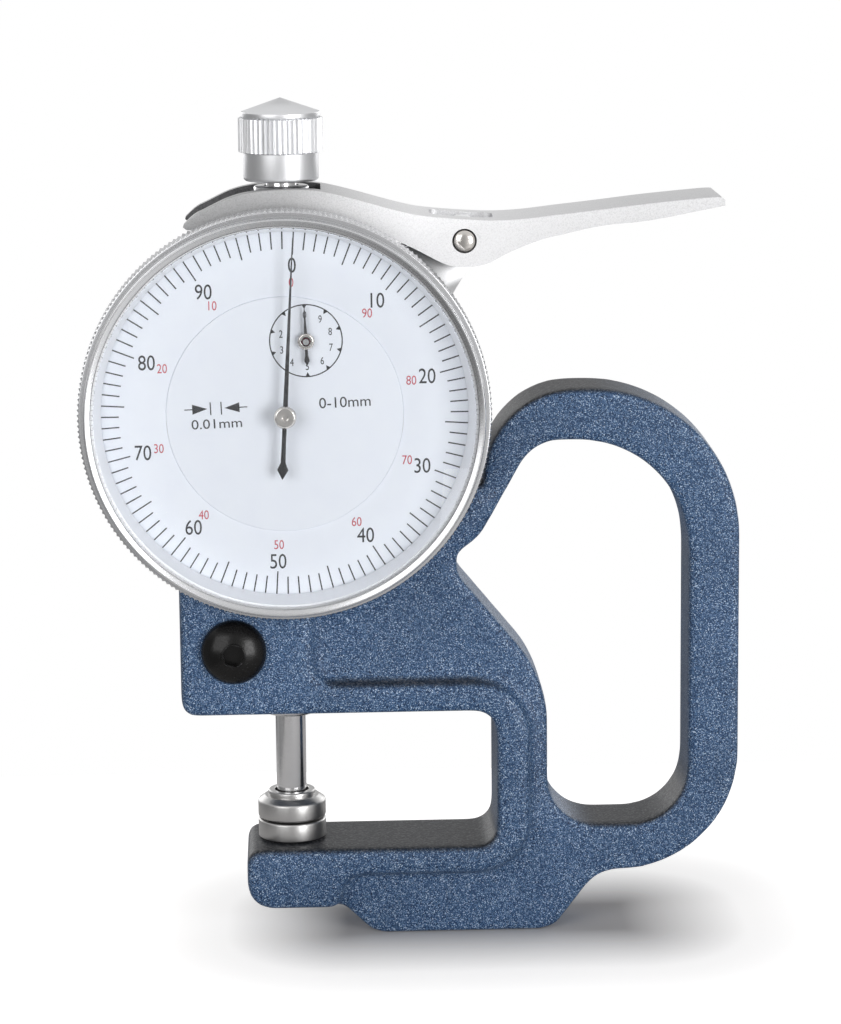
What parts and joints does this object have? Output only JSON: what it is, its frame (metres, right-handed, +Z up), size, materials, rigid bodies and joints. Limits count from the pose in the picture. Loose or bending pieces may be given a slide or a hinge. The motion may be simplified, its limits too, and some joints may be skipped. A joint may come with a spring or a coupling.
{
  "type": "dial thickness gauge",
  "caption": "Hand-held dial thickness gauge: a painted cast frame with a loop handle holds an anvil and a dial indicator, and a top lever lifts the spindle to open the measuring gap.",
  "frame": {"origin": "centre of the foot's flat underside, on the frame's middle plane", "axes": "+Z up along the spindle, +X from the measuring faces through the throat to the loop handle, -Y the way the dial faces"},
  "size_m": [0.0949, 0.0252, 0.1227],
  "materials": {
    "blue_hammered_paint": "blue hammered enamel on a casting",
    "black_oxide_steel": "black oxide",
    "ground_steel": "ground and polished",
    "satin_aluminium": "satin, fine sparkle",
    "black_enamel": "matt black",
    "white_dial_paint": "matt white",
    "brass": "plain",
    "synthetic_ruby": "polished",
    "spring_steel": "bright",
    "clear_crystal": "clear"
  },
  "bodies": {
    "gauge_body": {"frame": "blue_hammered_paint", "clamp_screw": "black_oxide_steel", "anvil": "ground_steel", "indicator_case": "satin_aluminium", "rear_cover": "satin_aluminium", "rear_cover_screw_1": "ground_steel", "rear_cover_screw_2": "ground_steel", "rear_cover_screw_3": "ground_steel", "rear_cover_screw_4": "ground_steel", "stem": "ground_steel", "upper_bush": "ground_steel", "spring_anchor": "ground_steel", "base_plate": "brass", "front_plate": "brass", "plate_pillar_1": "ground_steel", "plate_pillar_2": "ground_steel", "plate_pillar_3": "ground_steel", "plate_screw_1": "ground_steel", "plate_screw_2": "ground_steel", "plate_screw_3": "ground_steel", "rack_cock": "brass", "rack_pinion_rear_jewel": "synthetic_ruby", "rack_pinion_front_jewel": "synthetic_ruby", "centre_rear_jewel": "synthetic_ruby", "centre_front_jewel": "synthetic_ruby", "counter_rear_jewel": "synthetic_ruby", "counter_front_jewel": "synthetic_ruby", "hairspring": "spring_steel", "hairspring_stud": "ground_steel", "dial_disc": "white_dial_paint", "pivot_pin": "ground_steel"},
    "spindle_body": {"spindle": "ground_steel", "contact_tip": "ground_steel", "lift_knob": "satin_aluminium", "guide_pin": "ground_steel", "return_spring": "spring_steel"},
    "transfer_body": {"rack_pinion": "ground_steel", "transfer_gear": "brass"},
    "pointer_body": {"centre_pinion": "ground_steel", "pointer": "black_enamel", "pointer_cap": "satin_aluminium"},
    "counter_body": {"counter_arbor": "ground_steel", "counter_gear": "brass", "counter_hand": "black_enamel"},
    "bezel_body": {"bezel": "satin_aluminium", "crystal": "clear_crystal", "crystal_snap_ring": "spring_steel", "scale_ring": "white_dial_paint"},
    "lever_body": {"lever": "satin_aluminium"}
  },
  "joints": [
    {"name": "spindle_slide", "type": "slide", "parent": "gauge_body", "child": "spindle_body", "axis": [0, 0, 1], "range_m": [0, 0.01], "stiffness_N_per_m": 40, "springref_m": -0.02, "deforming": ["return_spring"]},
    {"name": "transfer_turn", "type": "hinge", "parent": "gauge_body", "child": "transfer_body", "pos_m": [-0.02814, 0, 0.06831], "axis": [0, 1, 0], "range_deg": [-362, 2]},
    {"name": "pointer_turn", "type": "hinge", "parent": "gauge_body", "child": "pointer_body", "pos_m": [-0.02505, 0, 0.0787], "axis": [0, 1, 0], "range_deg": [-10, 3610]},
    {"name": "counter_turn", "type": "hinge", "parent": "gauge_body", "child": "counter_body", "pos_m": [-0.02196, 0, 0.08909], "axis": [0, 1, 0], "range_deg": [-362, 2]},
    {"name": "bezel_turn", "type": "hinge", "parent": "gauge_body", "child": "bezel_body", "pos_m": [-0.02505, 0, 0.0787], "axis": [0, 1, 0], "continuous": true},
    {"name": "lever_pivot", "type": "hinge", "parent": "gauge_body", "child": "lever_body", "pos_m": [0.00085, 0, 0.1025], "axis": [0, 1, 0], "range_deg": [0, 20.7]}
  ],
  "couplings": [
    {"joint": "transfer_turn", "follows": "spindle_slide", "rad_per_m": -628.32},
    {"joint": "pointer_turn", "follows": "spindle_slide", "rad_per_m": 6283.2},
    {"joint": "counter_turn", "follows": "spindle_slide", "rad_per_m": -628.32},
    {"joint": "lever_pivot", "follows": "spindle_slide", "rad_per_m": 36}
  ]
}
